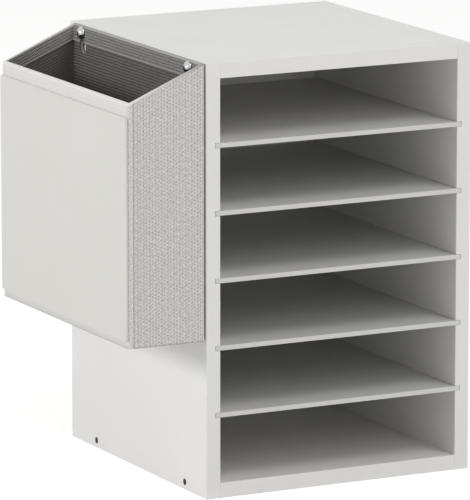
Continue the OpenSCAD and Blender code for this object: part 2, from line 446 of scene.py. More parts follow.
# Rib knit cover: matt yarn, with painted shade in its grooves and a painted highlight on its
# crests.
COVER_KNIT = RibbedKnit(
    "grey_polyester_rib_knit", "bbb9b7", "b8b6b4", 18, 0.85, 0.04, 0.7, 0.08, sheen=0.15
)
# Binding of the same yarn, woven close: smooth and a little greyer, with painted shade in its
# grooves and a painted highlight on its crests.
BINDING = RibbedKnit(
    "grey_polyester_binding_woven", "c9c7c4", "c6c4c1", 18, 0.8, 0.04, 0.7, 0.05,
    sheen=0.1, deep="a19f9c", crest="dfddda", fleck_mm=1.2, flecks=0.25,
)
# Seam thread: smooth white yarn that stands out from the knit.
THREAD = Finish(
    "white_polyester_thread_spun", "e9e7e4", "dedcd9", 3, 0.6, 0.05, 0.5, 0.03, sheen=0.1
)
# Lining: the same knit, darker: partly its own darker dye and partly painted shade of the
# pocket's inside, with painted shade in its grooves and a painted highlight on its crests.
LINING_KNIT = RibbedKnit(
    "dark_polyester_rib_knit", "54524f", "4c4a48", 18, 0.88, 0.04, 0.7, 0.08,
    sheen=0.1, deep="343230", crest="767471", fleck_mm=2.0, flecks=0.8, loops=0.6,
)
# Grosgrain tape: between the two, with crosswise ribs; its grey is partly painted shade of the
# pocket's inside, with painted shade in its grooves and a painted highlight on its crests.
TAPE = RibbedKnit(
    "grey_grosgrain_tape_woven", "7c7a77", "737170", 12, 0.8, 0.04, 0.6, 0.06,
    sheen=0.1, deep="454341", crest="a9a7a4", fleck_mm=2.0, flecks=0.8, loops=1.0,
)
# Book cloth on card: close plain weave filled with a matt white coat.
FACING_CLOTH = Woven("white_coated_book_cloth", "d4d3cf", "d0cfca", 70, 0.55, 0.05, 1.1, 0.025)
# Grey board: pressed waste paper, dull and fibrous.
GREY_BOARD = Finish("grey_board_pressed", "9a958c", "89847b", 6, 0.9, 0.04, 0.8, 0.1)
# Bright zinc on pressed steel: soft grey metal.
ZINC_STEEL = Finish(
    "zinc_plated_steel_pressed", "b9bcbe", "a7aaac", 5, 0.35, 0.08, 1.0, 0.02, metallic=1.0
)
# Drilled chipboard inside the screw holes: brown-grey broken chips, darker than bare chipboard
# because painted shade of the holes is in the colour.
CHIPBOARD = Finish("raw_chipboard_drilled", "8c867e", "726c64", 2.5, 0.9, 0.04, 0.9, 0.15)
# Blackened steel: dark, dull heads deep in their holes.
DARK_STEEL = Finish("black_oxide_steel_forged", "2a2a2c", "202022", 4, 0.5, 0.08, 0.8, 0.03)
# Chrome on turned steel: a clean mirror.
CHROME = Finish(
    "chrome_plated_steel_turned", "c8c9ca", "c0c1c3", 8, 0.07, 0.03, 2.0, 0.002, metallic=1.0
)
# Wool felt: soft, dull fibres.
FELT = Finish("dark_wool_felt_pressed", "4b4c4f", "3e3f42", 4, 0.95, 0.03, 0.7, 0.25, sheen=0.3)
# Nylon: milky moulded plastic.
NYLON = Finish("natural_nylon_moulded", "dedbd2", "d3d0c6", 6, 0.4, 0.05, 1.2, 0.02)
# Brass: turned threaded bush.
BRASS = Finish("brass_turned", "c6a45a", "b39148", 6, 0.3, 0.06, 1.0, 0.02, metallic=1.0)
# Beech: fluted dowel, grain along its length.
BEECH = DrawnStrip(
    "beech_dowel_turned", "c9a678", "b48f60", 5, 0.65, 0.05, 0.9, 0.08, stretch=(0.06, 1.0, 1.0)
)


# ---------------------------------------------------------------- pieces


def mesh_of(shape: Shape, name: str) -> bpy.types.Mesh:
    """Make a mesh of a shape, which is freed.

    Args:
        shape: The shape.
        name: The mesh's name.

    Returns:
        The mesh.
    """
    mesh = bpy.data.meshes.new(name)
    shape.to_mesh(mesh)
    shape.free()
    return mesh


def placed(name: str, data: bpy.types.ID) -> Thing:
    """Put a new object into the scene.

    Args:
        name: The object's name.
        data: Its mesh, lamp or camera.

    Returns:
        The object.
    """
    made = bpy.data.objects.new(name, data)
    bpy.context.scene.collection.objects.link(made)
    return made


@dataclass
class Piece:
    """A finished mesh and where it belongs.

    Attributes:
        name: The piece's name.
        body: The body that it moves with.
        slot: The record's material slot; not used.
        finish: Its finish.
        replaces: The frame's nodes that it stands for.
        smooth_deg: Edges sharper than this stay crisp; 0 keeps every face flat.
        inside: Finish of the faces with material index 1, if it has any.
    """

    name: str
    body: str
    slot: str
    finish: Finish
    replaces: Sequence[str] = ()
    smooth_deg: float = 0.0
    inside: Finish | None = None

    def build(self, shape: Shape) -> Thing:
        """Turn the shape into an object that rides on its body.

        Args:
            shape: The finished shape, which is freed.

        Returns:
            The object.
        """
        for face in shape.faces:
            face.smooth = self.smooth_deg > 0
        mesh = mesh_of(shape, self.name)
        if self.smooth_deg > 0:
            mesh.set_sharp_from_angle(angle=radians(self.smooth_deg))
        for finish in (self.finish, self.inside):
            if finish is not None:
                mesh.materials.append(finish.material())
        made = placed(self.name, mesh)
        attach(made, self.body)
        if self.replaces:
            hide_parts(*self.replaces)
        LOG.info("%s: %d faces, on %s", self.name, len(mesh.polygons), self.body)
        return made


def aimed(name: str, data: bpy.types.ID, place: Triple, way: Vector) -> Thing:
    """Put a lamp or camera at a place, looking along way.

    Args:
        name: The object's name.
        data: The lamp or camera.
        place: Where it stands.
        way: Direction that it looks in.

    Returns:
        The object.
    """
    made = placed(name, data)
    made.location = place
    made.rotation_euler = way.to_track_quat("-Z", "Y").to_euler()
    return made


def merged_copy(node: str) -> Shape:
    """Copy a node's loose triangles as one joined shape.

    Args:
        node: The frame's node.

    Returns:
        The shape.
    """
    shape = bmesh.new()
    shape.from_mesh(frame["nodes"][node].data)
    bmesh.ops.remove_doubles(shape, verts=shape.verts, dist=2e-6)
    return shape


def grown_edges(shape: Shape, edges: list[Edge]) -> tuple[list[Vert], list[Edge]]:
    """Extrude a loop of edges.

    Args:
        shape: The shape that they belong to.
        edges: The loop.

    Returns:
        The new loop's vertices and its edges.
    """
    grown = bmesh.ops.extrude_edge_only(shape, edges=edges)["geom"]
    verts = [g for g in grown if isinstance(g, Vert)]
    new = set(verts)
    loop = [g for g in grown if isinstance(g, Edge) and new.issuperset(g.verts)]
    return verts, loop


def eased_copy(
    node: str, radius: float, chosen: Callable[[Edge], bool] = lambda edge: True
) -> Shape:
    """Copy a node's shape and ease its long outer edges.

    Args:
        node: The frame's node.
        radius: Width of the eased edge in metres.
        chosen: Test that an edge passes to be eased.

    Returns:
        The shape.
    """
    shape = merged_copy(node)
    bmesh.ops.dissolve_limit(
        shape, angle_limit=radians(1), verts=shape.verts, edges=shape.edges
    )
    long_edges = [
        e for e in shape.edges
        if len(e.link_faces) == 2
        and e.is_convex
        and e.calc_face_angle() > radians(60)
        and e.calc_length() > 0.9 * MM
        and chosen(e)
    ]
    bmesh.ops.bevel(
        shape, geom=long_edges, offset=radius, offset_type="OFFSET", affect="EDGES", segments=2,
        profile=0.5, material=-1, clamp_overlap=True,
    )
    return shape


def centres(node: str) -> list[Vector]:
    """Centre of each separate solid of a node, low ones first.

    Args:
        node: The frame's node.

    Returns:
        The centres.
    """
    shape = merged_copy(node)
    left, found = set(shape.verts), []
    while left:
        island, edge_of = set(), [left.pop()]
        while edge_of:
            vert = edge_of.pop()
            island.add(vert)
            near = {e.other_vert(vert) for e in vert.link_edges} & left
            left -= near
            edge_of.extend(near)
        corners = [Vector(map(pick, *(v.co for v in island))) for pick in (min, max)]
        found.append((corners[0] + corners[1]) / 2)
    shape.free()
    return sorted(found, key=lambda c: tuple(round(v, 5) for v in c.zyx))


def turned(profile: Profile, axis: Vector, centre: Vector, steps: int) -> Shape:
    """Turn a profile about an axis, as on a lathe.

    Args:
        profile: Place along the axis and radius of each point, both ends at radius 0.
        axis: The axis.
        centre: A point of the axis; places are measured from the origin along it.
        steps: Flats in a full turn.

    Returns:
        The closed shape.
    """
    shape = bmesh.new()
    side = axis.orthogonal().normalized()
    base = centre - axis * centre.dot(axis)
    verts = [shape.verts.new(base + axis * along + side * radius) for along, radius in profile]
    edges = [shape.edges.new(pair) for pair in zip(verts, verts[1:])]
    bmesh.ops.spin(
        shape, geom=verts + edges, cent=centre, axis=axis, angle=tau, steps=steps,
        use_merge=True,
    )
    bmesh.ops.remove_doubles(shape, verts=shape.verts, dist=1e-6)
    bmesh.ops.recalc_face_normals(shape, faces=shape.faces)
    return shape


def gathered(shapes: Iterable[Shape]) -> Shape:
    """Put several shapes into one and free them.

    Args:
        shapes: The shapes.

    Returns:
        The whole.
    """
    whole = bmesh.new()
    for shape in shapes:
        mesh = mesh_of(shape, "part")
        whole.from_mesh(mesh)
        bpy.data.meshes.remove(mesh)
    return whole


def dress_node(node: str, finish: Finish) -> None:
    """Give a node that is shown as it is its finish.

    Args:
        node: The frame's node.
        finish: Its finish.
    """
    shown = frame["nodes"][node]
    for place in shown.material_slots:
        place.material = finish.material()
    LOG.info("%s: kept, %s", node, finish.name)


def cut_away(piece: Thing, cutter: Shape) -> None:
    """Cut a closed shape out of a piece and keep the result as its mesh.

    Args:
        piece: The piece, which is closed.
        cutter: The closed shape to take away, which is freed.
    """
    mesh = mesh_of(cutter, "cutter")
    tool = placed("cutter", mesh)
    cut = piece.modifiers.new("cut", "BOOLEAN")
    cut.operation, cut.solver, cut.object = "DIFFERENCE", "EXACT", tool
    depsgraph = bpy.context.evaluated_depsgraph_get()
    result = bpy.data.meshes.new_from_object(piece.evaluated_get(depsgraph))
    piece.modifiers.remove(cut)
    old, piece.data = piece.data, result
    result.name = piece.name
    bpy.data.meshes.remove(old)
    bpy.data.objects.remove(tool)
    bpy.data.meshes.remove(mesh)


def spread(start: float, end: float, gap: float) -> list[float]:
    """Evenly spaced places from start to end, about gap apart."""
    count = max(1, round(abs(end - start) / gap))
    return [start + (end - start) * i / count for i in range(count + 1)]


@dataclass
class KnitPattern:
    """Relief of the rib knit, in metres below its highest yarn.

    Attributes:
        pitch: Distance from groove to groove.
        loop: Length of a knitted loop along the rib.
        depth: Depth from the highest yarn to the ground of the knit.
        groove: Depth of a groove.
        groove_width: Half-width of a groove.
        loop_depth: Depth between the loops.
        slants: Yarn courses, as turns per metre across and along, and a weight.
    """

    pitch: float = 6.85 * MM
    loop: float = 3.73 * MM
    depth: float = 0.4 * MM
    groove: float = 0.14 * MM
    groove_width: float = 0.36 * MM
    loop_depth: float = 0.1 * MM
    slants: Sequence[Triple] = ((186.0, 402.0, 0.9), (162.0, -268.0, 1.0), (124.0, 268.0, 0.7))

    def height(self, across: float, along: float, knit: float = 1.0) -> float:
        """Height of the surface.

        Args:
            across: Distance across the ribs, from a groove.
            along: Distance along the ribs.
            knit: Weight of the loops, 0 for ribs only.

        Returns:
            Height from -depth to 0.
        """
        place = across % self.pitch
        from_groove = min(place, self.pitch - place)
        groove = exp(-((from_groove / self.groove_width) ** 2))
        level = -self.groove * groove
        if knit:
            spot = Vector((across / (1.0 * MM), along / (1.1 * MM), 0.0))
            drift = noise.noise(spot) + 0.7 * noise.noise(spot * 0.37)
            yarn = sum(
                weight * cos(tau * (across * over + along * up))
                for over, up, weight in self.slants
            )
            ridge = exp(-(((place - 1.2 * MM) / (0.4 * MM)) ** 2))
            ridge += 0.6 * exp(-(((place - 4.6 * MM) / (0.5 * MM)) ** 2))
            ridge -= 0.7 * exp(-(((place - 2.8 * MM) / (0.5 * MM)) ** 2))
            bead = 0.5 + 0.5 * cos(tau * along / self.loop)
            level += knit * self.loop_depth * (0.55 * yarn + 1.5 * drift - 0.8)
            level += knit * 0.1 * MM * ridge * (0.35 + bead)
        return max(-self.depth * 1.25, min(level, 0.0))

    def pile_shade(self, height: float) -> float:
        """How high the yarn stands, 0 at a groove's bottom and 1 at a crest; it sets the knit's
        painted shade and highlight.
        """
        return max(0.0, min(1.0, 1 + height / self.depth))


@dataclass
class Cabinet:
    """The laminate cabinet, its shelves and its fixings.

    Attributes:
        panel_ease: Eased edge of the panels.
        strip_ease: Eased edge of the strips and shelves.
        bore: Reach from a corner screw's axis that takes in its bore's wall.
        panels: Nodes of the panels.
        strips: Nodes of the edge strips.
    """

    panel_ease: float = 0.3 * MM
    strip_ease: float = 0.4 * MM
    bore: float = 3.9 * MM
    panels: Sequence[str] = ("left_side_panel", "right_side_panel", "top_panel", "bottom_panel")
    strips: Sequence[str] = (
        "left_edge_band", "right_edge_band", "top_edge_band", "bottom_edge_band"
    )

    def mark_bores(self, shape: Shape) -> None:
        """Give the walls of the corner screws' bores their own finish: drilled chipboard,
        darkened with painted shade of the holes.

        Args:
            shape: A panel's shape.
        """
        axes = centres("corner_screws")
        for face in shape.faces:
            middle = face.calc_center_median()
            if abs(face.normal.x) < 0.5 and any(
                hypot(middle.y - a.y, middle.z - a.z) < self.bore for a in axes
            ):
                face.material_index = 1

    def back_fixings(self) -> None:
        """The back panel's screws: pan heads with a cross recess."""
        low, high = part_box("back_screws")
        head, shank, rise, skirt = 2.8 * MM, 1.25 * MM, 1.6 * MM, 0.6 * MM
        seat = high.y - rise
        profile: Points = [
            (low.y, 0.0), (low.y + 1.6 * MM, shank), (seat, shank), (seat, head * 0.96),
            (seat + 0.15 * MM, head), (seat + skirt, head),
        ]
        for step in range(1, 7):
            angle = step * pi / 12
            along = seat + skirt + sin(angle) * (rise - skirt)
            profile.append((along, head * cos(angle)))
        profile[-1] = (high.y, 0.0)
        places = centres("back_screws")
        way = Vector((0, 1, 0))
        heads = Piece(
            "back_screws_pan_head", "cabinet", "screw_steel", ZINC_STEEL, ["back_screws"], 40.0
        ).build(gathered(turned(profile, way, place, 20) for place in places))
        slot, cross = 0.6 * MM, 2.8 * MM
        for wide, tall in ((slot, cross), (cross, slot)):
            cutter = bmesh.new()
            for place in places:
                made = bmesh.ops.create_cube(cutter, size=1.0)["verts"]
                bmesh.ops.scale(cutter, vec=(wide, 2 * MM, tall), verts=made)
                bmesh.ops.translate(cutter, vec=(place.x, high.y, place.z), verts=made)
            cut_away(heads, cutter)

    def build(self) -> None:
        """Build every piece of the cabinet."""
        for node in self.panels:
            shape = eased_copy(node, self.panel_ease)
            self.mark_bores(shape)
            Piece(
                node + "_laminated", "cabinet", "laminate", LAMINATE, [node], inside=CHIPBOARD
            ).build(shape)
        for node in self.strips:
            shape = eased_copy(node, self.strip_ease)
            Piece(node + "_strip", "cabinet", "edge_strip", EDGE_STRIP, [node]).build(shape)
        for number in range(1, 6):
            node = f"shelf_{number}"
            shape = eased_copy(node, self.strip_ease)
            Piece(node + "_board", node, "shelf_board", SHELF_BOARD, [node]).build(shape)
        dress_node("back_panel", HARDBOARD)
        dress_node("corner_screws", DARK_STEEL)
        dress_node("corner_dowels", BEECH)
        self.back_fixings()


@dataclass
class Pocket:
    """The hung pocket: boards inside a sewn cover, a lining, a tape and a facing.

    Attributes:
        drop: Fall of the rim from the cabinet to the outer wall.
        corner: Radius of the upright corners away from the cabinet.
        inner_corner: Radius of those beside it.
        stations: Points in each rounded corner of a ring.
        knit: Relief of the cover.
        lining_knit: Relief of the lining.
        seam_band: Plain strip on an end wall, from an outer corner to its seam.
        stitch_pitch: Distance between the stitches of a corner seam.
        rim_clear: Gap from a wall's top to the rim, which the roll covers.
        base_clear: Gap from a wall's foot to the underside.
        ground: Deepest relief that a wall has.
        wall: Distance from the outside to the inside of the lining.
        stud_head: Radius of a stud's head.
    """

    drop: float = 36.5 * MM
    corner: float = 3.0 * MM
    inner_corner: float = 1.4 * MM
    stations: int = 7
    knit: KnitPattern = field(default_factory=KnitPattern)
    lining_knit: KnitPattern = field(
        default_factory=lambda: KnitPattern(
            pitch=3.2 * MM, depth=0.5 * MM, groove=0.5 * MM, groove_width=0.6 * MM
        )
    )
    seam_band: float = 3.4 * MM
    stitch_pitch: float = 1.9 * MM
    rim_clear: float = 1.6 * MM
    base_clear: float = 0.1 * MM
    ground: float = 0.95 * MM
    wall: float = 4.0 * MM
    stud_head: float = 7.0 * MM

    def __post_init__(self) -> None:
        """Read the pocket's place from the frame."""
        low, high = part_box("pocket_cover")
        self.outer, self.front, self.bottom = low
        self.inner, self.rear, self.top = high
        studs_low, studs_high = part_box("hanging_studs")
        self.stud_z = (studs_low.z + studs_high.z) / 2
        self.stud_ys = (studs_low.y + self.stud_head, studs_high.y - self.stud_head)

    def rim(self, x: float) -> float:
        """Height of the rim at x."""
        return self.top - self.drop * (self.inner - x) / (self.inner - self.outer)

    def plan_point(self, station: int, inset: float) -> tuple[float, float]:
        """A point of the pocket's plan, drawn in from its outside.

        Args:
            station: Its number, counted anticlockwise from the inner rear corner.
            inset: How far it lies in.

        Returns:
            X and Y.
        """
        quarter, step = divmod(station, self.stations)
        corner = self.inner_corner if quarter in (0, 3) else self.corner
        radius = max(corner - inset, 0.8 * MM)
        angle = (quarter + step / (self.stations - 1)) * pi / 2
        reach = inset + radius
        x = self.inner - reach if quarter in (0, 3) else self.outer + reach
        y = self.rear - reach if quarter in (0, 1) else self.front + reach
        return x + radius * cos(angle), y + radius * sin(angle)

    def ring(
        self, profile: Profile, lowest: Sequence[float] = (),
        pile_shade: Pile = lambda inset, below: 0.8,
    ) -> Shape:
        """Carry a profile round the pocket, parallel to the rim.

        Args:
            profile: Inset and distance below the rim of each step.
            lowest: Lowest height at each step, for a cup closed at both ends; empty
                for a ring that closes on itself.
            pile_shade: How high the yarn stands at an inset and a distance below the rim, which
                sets its painted shade and highlight.

        Returns:
            The closed shape.
        """
        shape = bmesh.new()
        count = 4 * self.stations
        bmesh.ops.create_circle(shape, segments=count, radius=1.0)
        station = shape.verts.layers.int.new("station")
        standing = shape.verts.layers.float.new("pile_shade")
        order = sorted(shape.verts, key=lambda v: atan2(v.co.y, v.co.x) % tau)
        for number, vert in enumerate(order):
            vert[station] = number
        first = edges = list(shape.edges)
        verts = list(shape.verts)
        for step, (inset, below) in enumerate(profile):
            if step:
                verts, edges = grown_edges(shape, edges)
            for vert in verts:
                x, y = self.plan_point(vert[station], inset)
                z = self.rim(x) - below
                vert.co = x, y, max(z, lowest[step]) if lowest else z
                vert[standing] = pile_shade(inset, below)
        if lowest:
            bmesh.ops.edgeloop_fill(shape, edges=first)
            bmesh.ops.edgeloop_fill(shape, edges=edges)
        else:
            bmesh.ops.bridge_loops(shape, edges=first + edges)
        bmesh.ops.dissolve_degenerate(shape, dist=1e-7, edges=shape.edges)
        bmesh.ops.recalc_face_normals(shape, faces=shape.faces)
        return shape

    def slab(
        self, columns: Sequence[float], rows: Sequence[float],
        place: Callable[[float, float], Vector], outward: Vector,
        relief: Callable[[Vector], float], thickness: float = 1.0 * MM,
    ) -> Shape:
        """A flat piece of knit with its relief on the outside, closed behind.

        Args:
            columns: Stations across the piece.
            rows: Stations up the piece.
            place: Point on the flat outside at a column and a row.
            outward: Direction that the outside faces.
            relief: Height at a point.
            thickness: Thickness of the piece.

        Returns:
            The closed shape.
        """
        shape = bmesh.new()
        standing = shape.verts.layers.float.new("pile_shade")
        wide, tall = len(columns) - 1, len(rows) - 1
        bmesh.ops.create_grid(shape, x_segments=wide, y_segments=tall, size=0.5)
        for vert in shape.verts:
            column = columns[round((vert.co.x + 0.5) * wide)]
            row = rows[round((vert.co.y + 0.5) * tall)]
            flat = place(column, row)
            height = relief(flat)
            # The height also sets the painted shade and highlight, so every fall of the relief
            # is painted darker as well.
            vert[standing] = self.knit.pile_shade(height)
            vert.co = flat + outward * height
        border = [e for e in shape.edges if e.is_boundary]
        verts, back = grown_edges(shape, border)
        plane = place(columns[0], rows[0]).dot(outward) - thickness
        for vert in verts:
            vert.co += outward * (plane - vert.co.dot(outward))
            # The hidden back takes the darkest painted shade.
            vert[standing] = 0.0
        bmesh.ops.edgeloop_fill(shape, edges=back)
        bmesh.ops.recalc_face_normals(shape, faces=shape.faces)
        return shape

    def edge_fall(self, distance: float, width: float, depth: float) -> float:
        """Fall of the surface towards an edge that lies distance away.

        Args:
            distance: Distance to the edge.
            width: Distance at which the fall starts.
            depth: Fall at the edge.

        Returns:
            The fall, from -depth to 0.
        """
        if distance >= width:
            return 0.0
        reach = 1 - max(distance, 0.0) / width
        return -depth * (1 - sqrt(max(0.0, 1 - reach * reach)))

    def end_wall(self, y: float, facing: int) -> Shape:
        """The ribbed end wall at y, which faces along facing times Y.

        Args:
            y: Y of the flat wall.
            facing: 1 or -1.

        Returns:
            The closed shape.
        """
        left, right = self.outer + self.corner + self.seam_band, self.inner - self.inner_corner
        groove = self.inner - 0.3 * MM
        columns = spread(left, right, self.knit.pitch / 12)
        rows = spread(0, 1, 0.8 * MM / (self.top - self.bottom))

        def place(x: float, share: float) -> Vector:
            """Point of the flat wall at x and a share of its height."""
            low = self.bottom + self.base_clear
            return Vector((x, y, low + share * (self.rim(x) - self.rim_clear - low)))

        def relief(point: Vector) -> float:
            """Ribs upright, falling off at the wall's edges.

            Args:
                point: Point of the flat wall.

            Returns:
                The height.
            """
            ribs = self.knit.height(point.x - groove, point.z)
            up = self.edge_fall(point.z - self.bottom, 1.6 * MM, 0.9 * MM)
            side = self.edge_fall(min(point.x - left, right - point.x), 0.5 * MM, 0.3 * MM)
            return max(ribs + up + side, -self.ground)

        return self.slab(columns, rows, place, Vector((0, facing, 0)), relief)

    def outer_wall(self) -> Shape:
        """The outer wall, with ribs that run along the rim where they show.

        Returns:
            The closed shape.
        """
        low, high = self.bottom + self.base_clear, self.rim(self.outer) - self.rim_clear
        columns = spread(
            self.front + self.corner, self.rear - self.corner, self.knit.loop / 3.5
        )
        step = self.knit.pitch / 12
        rows = spread(low, low + 13 * MM, step)
        rows += spread(high - 17 * MM, high, step)

        def relief(point: Vector) -> float:
            """Ribs level, falling off at the bottom.

            Args:
                point: Point of the flat wall.

            Returns:
                The height.
            """
            ribs = self.knit.height(high - point.z, point.y, knit=0.5)
            up = self.edge_fall(point.z - self.bottom, 1.6 * MM, 0.5 * MM)
            # The tuck also darkens the bottom band with painted shade, through the yarn's
            # height.
            tuck = 0.2 * MM * max(0.0, 1 - (point.z - self.bottom) / (8 * MM))
            return max(ribs * 0.45 + up - tuck, -self.ground)

        return self.slab(
            columns, rows, lambda y, z: Vector((self.outer, y, z)), Vector((-1, 0, 0)), relief
        )

    def inner_wall(self) -> Shape:
        """The wall towards the cabinet, plain, because it lies 2 mm from it.

        Returns:
            The closed shape.
        """
        columns = [self.front + self.inner_corner, self.rear - self.inner_corner]
        rows = [self.bottom + self.base_clear, self.top - self.rim_clear]
        return self.slab(
            columns, rows, lambda y, z: Vector((self.inner, y, z)), Vector((1, 0, 0)),
            lambda point: -0.25 * MM,
        )

    def base(self) -> Shape:
        """The underside, with ribs that run from end to end.

        Returns:
            The closed shape.
        """
        edge = 1.0 * MM
        left, right = self.outer + edge, self.inner - edge
        columns = spread(left, right, self.knit.pitch / 12)
        rows = [self.front + edge, self.rear - edge]
        return self.slab(
            columns, rows, lambda x, y: Vector((x, y, self.bottom)), Vector((0, 0, -1)),
            lambda point: self.knit.height(point.x - left, point.y, knit=0.0),
        )

    def corner_roll(self, outer: bool, front: bool) -> Shape:
        """The rounded upright corner, pricked by its seam, with painted shade in the needle
        holes and the seam's valley and a painted highlight down the inner corners.

        Args:
            outer: True for a corner away from the cabinet.
            front: True for a corner at the front.

        Returns:
            The curved strip, open behind until it gets its thickness.
        """
        shape = bmesh.new()
        standing = shape.verts.layers.float.new("pile_shade")
        band = self.seam_band if outer else 0.0
        corner = self.corner if outer else self.inner_corner
        arc = corner * pi / 2
        wide = 8 + round(band / (0.5 * MM))
        x_axis = self.outer + corner if outer else self.inner - corner
        y_axis = self.front + corner if front else self.rear - corner
        x_way, y_way = (-1 if outer else 1), (-1 if front else 1)
        low = self.bottom + self.base_clear
        tall = round((self.rim(x_axis) - low) / (self.stitch_pitch / 4))
        bmesh.ops.create_grid(shape, x_segments=wide, y_segments=tall, size=0.5)
        for vert in shape.verts:
            run = (vert.co.x + 0.5) * (arc + band)
            angle = min(run / corner, pi / 2)
            flat = x_way * max(0.0, run - arc)
            share = vert.co.y + 0.5
            x = x_axis + x_way * corner * cos(angle) - flat
            z = low + share * (self.rim(x) - self.rim_clear - low)
            beat = cos(tau * z / self.stitch_pitch)
            across = abs(run - arc / 2 * 1.15)
            hole = exp(-((across / (0.6 * MM)) ** 2)) * max(0.0, beat) ** 2
            hole *= 0.4 if outer else 0.0
            grain = noise.noise(Vector((run / (1.2 * MM), z / (1.3 * MM), 1.0)))
            level = (-0.15 if outer else 0.0) * MM - 0.45 * MM * hole + 0.18 * MM * grain
            level += self.edge_fall(z - self.bottom, 1.6 * MM, 0.9 * MM)
            valley = max(0.0, 1 - (arc + band - run) / (0.9 * MM)) if outer else 0.0
            level -= 0.28 * MM * valley
            reach = corner + level
            # Painted highlight: the inner corners take the brightest yarn colour; painted
            # shade: the needle holes and the seam's valley darken it.
            vert[standing] = (0.92 if outer else 1.2) + 0.6 * grain - 0.7 * hole - 0.28 * valley
            vert.co = (
                x_axis + x_way * reach * cos(angle) - flat,
                y_axis + y_way * reach * sin(angle), z,
            )
        bmesh.ops.recalc_face_normals(shape, faces=shape.faces)
        probe = max(shape.faces, key=lambda f: f.calc_area())
        if probe.normal.dot(Vector((x_way, y_way, 0))) < 0:
            bmesh.ops.reverse_faces(shape, faces=shape.faces)
        return shape

    def keyhole_cutters(self) -> list[Shape]:
        """Two shapes that cut the keyholes: the round ways in, and the slots.

        Returns:
            The cutters, each closed.
        """
        lift, entry, slot = 15 * MM, 7.6 * MM, 3.0 * MM
        deep = 12 * MM
        x = self.inner - 2.5 * MM
        turn = Matrix.Rotation(pi / 2, 4, "Y")
        rounds, slots = bmesh.new(), bmesh.new()
        for y in self.stud_ys:
            bmesh.ops.create_cone(
                rounds, cap_ends=True, segments=48, radius1=entry, radius2=entry, depth=deep,
                matrix=Matrix.Translation((x, y, self.stud_z - lift)) @ turn,
            )
            made = bmesh.ops.create_cube(slots, size=1.0)["verts"]
            tall = lift + slot
            bmesh.ops.scale(slots, vec=(deep, 2 * slot, tall), verts=made)
            top = [
                e for e in slots.edges
                if e.verts[0] in made
                and all(v.co.z > 0 for v in e.verts)
                and abs(e.verts[0].co.x - e.verts[1].co.x) > MM
            ]
            bevelled = bmesh.ops.bevel(
                slots, geom=top, offset=slot * 0.999, affect="EDGES", segments=10, profile=0.5,
                material=-1,
            )
            grown = set(made) | set(bevelled["verts"])
            bmesh.ops.translate(
                slots, vec=(x, y, self.stud_z - lift + tall / 2),
                verts=[v for v in grown if v.is_valid],
            )
        for shape in (rounds, slots):
            bmesh.ops.recalc_face_normals(shape, faces=shape.faces)
        return [rounds, slots]

    def with_keyholes(self, piece: Thing, pile_shade: Pile) -> None:
        """Cut both keyholes through a piece of cloth.

        Args:
            piece: The piece.
            pile_shade: How high its yarn stands, which sets its painted shade and highlight;
                the cut edge takes it on too.
        """
        for cutter in self.keyhole_cutters():
            cut_away(piece, cutter)
        standing = piece.data.attributes["pile_shade"].data
        for vert in piece.data.vertices:
            if vert.co.x > self.inner - 6 * MM:
                standing[vert.index].value = pile_shade(self.inner - vert.co.x, 0.0)

    def lining_pile(self, inset: float, below: float) -> float:
        """How high the lining's yarn stands, which sets its painted shade and highlight: its
        crests lie furthest in.
        """
        return min(1.0, max(0.0, 1 - (self.wall - inset) / self.lining_knit.depth))

    @staticmethod
    def tape_pile(inset: float, below: float) -> float:
        """How high the tape's yarn stands, which sets its painted shade and highlight: its
        crests lie furthest in.
        """
        return min(1.0, max(0.0, (inset - 4.2 * MM) / (0.8 * MM)))

    def lining(self) -> Shape:
        """The lining, with ribs parallel to the rim down to the base.

        Returns:
            The closed shape.
        """
        under, inside = self.bottom + 3 * MM, self.bottom + 4 * MM
        depth = self.rim(self.outer) - inside - MM
        profile: Points = [(3 * MM, 1.0), (3 * MM, 0.7 * MM)]
        for below in spread(0.7 * MM, depth, self.lining_knit.pitch / 5):
            rib = self.lining_knit.height(below, 0.0, knit=0.0)
            profile.append((self.wall + rib, below))
        profile.append((self.wall, 1.0))
        lowest = [under] * 2 + [inside] * (len(profile) - 2)
        return self.ring(profile, lowest, self.lining_pile)

    def tape(self) -> Shape:
        """The tape round the inside of the rim: three ribs and a thick lower edge.

        Returns:
            The closed shape.
        """
        start, width = 0.6 * MM, 16 * MM
        profile: Points = [(3.9 * MM, start)]
        for below in spread(0.0, width, 0.5 * MM):
            wave = 0.5 + 0.5 * cos(tau * (below - 1.6 * MM) / (3.2 * MM))
            edge = exp(-(((below - width + 0.9 * MM) / (0.7 * MM)) ** 2))
            proud = min(1.0, 0.45 + 0.35 * wave + 0.5 * edge)
            proud += self.edge_fall(min(below, width - below), 0.5 * MM, 0.4 * MM) / MM
            profile.append((self.wall + proud * MM, start + below))
        profile.append((3.9 * MM, start + width))
        return self.ring(profile, pile_shade=self.tape_pile)

    def rim_roll(self) -> Shape:
        """The cover turned over the boards, as one soft roll round the rim, with a painted
        highlight along it and painted shade on its side towards the cabinet.

        Returns:
            The closed shape.
        """
        profile = [
            (0.45 * MM, 2.6 * MM), (0.1 * MM, 1.9 * MM), (0.0, 1.1 * MM),
            (0.25 * MM, 0.45 * MM), (0.9 * MM, 0.08 * MM), (2.0 * MM, 0.0),
            (3.1 * MM, 0.08 * MM), (3.8 * MM, 0.45 * MM), (4.0 * MM, 1.1 * MM),
            (3.8 * MM, 1.8 * MM),
        ]
        # Painted highlight: the whole roll takes the brightest yarn colour.
        shape = self.ring(profile, pile_shade=lambda inset, below: 1.25)
        standing = shape.verts.layers.float["pile_shade"]
        # Painted shade: the side towards the cabinet takes the darkest yarn colour.
        for vert in shape.verts:
            if vert.co.x > self.inner - 4.1 * MM:
                vert[standing] = 0.0
        return shape

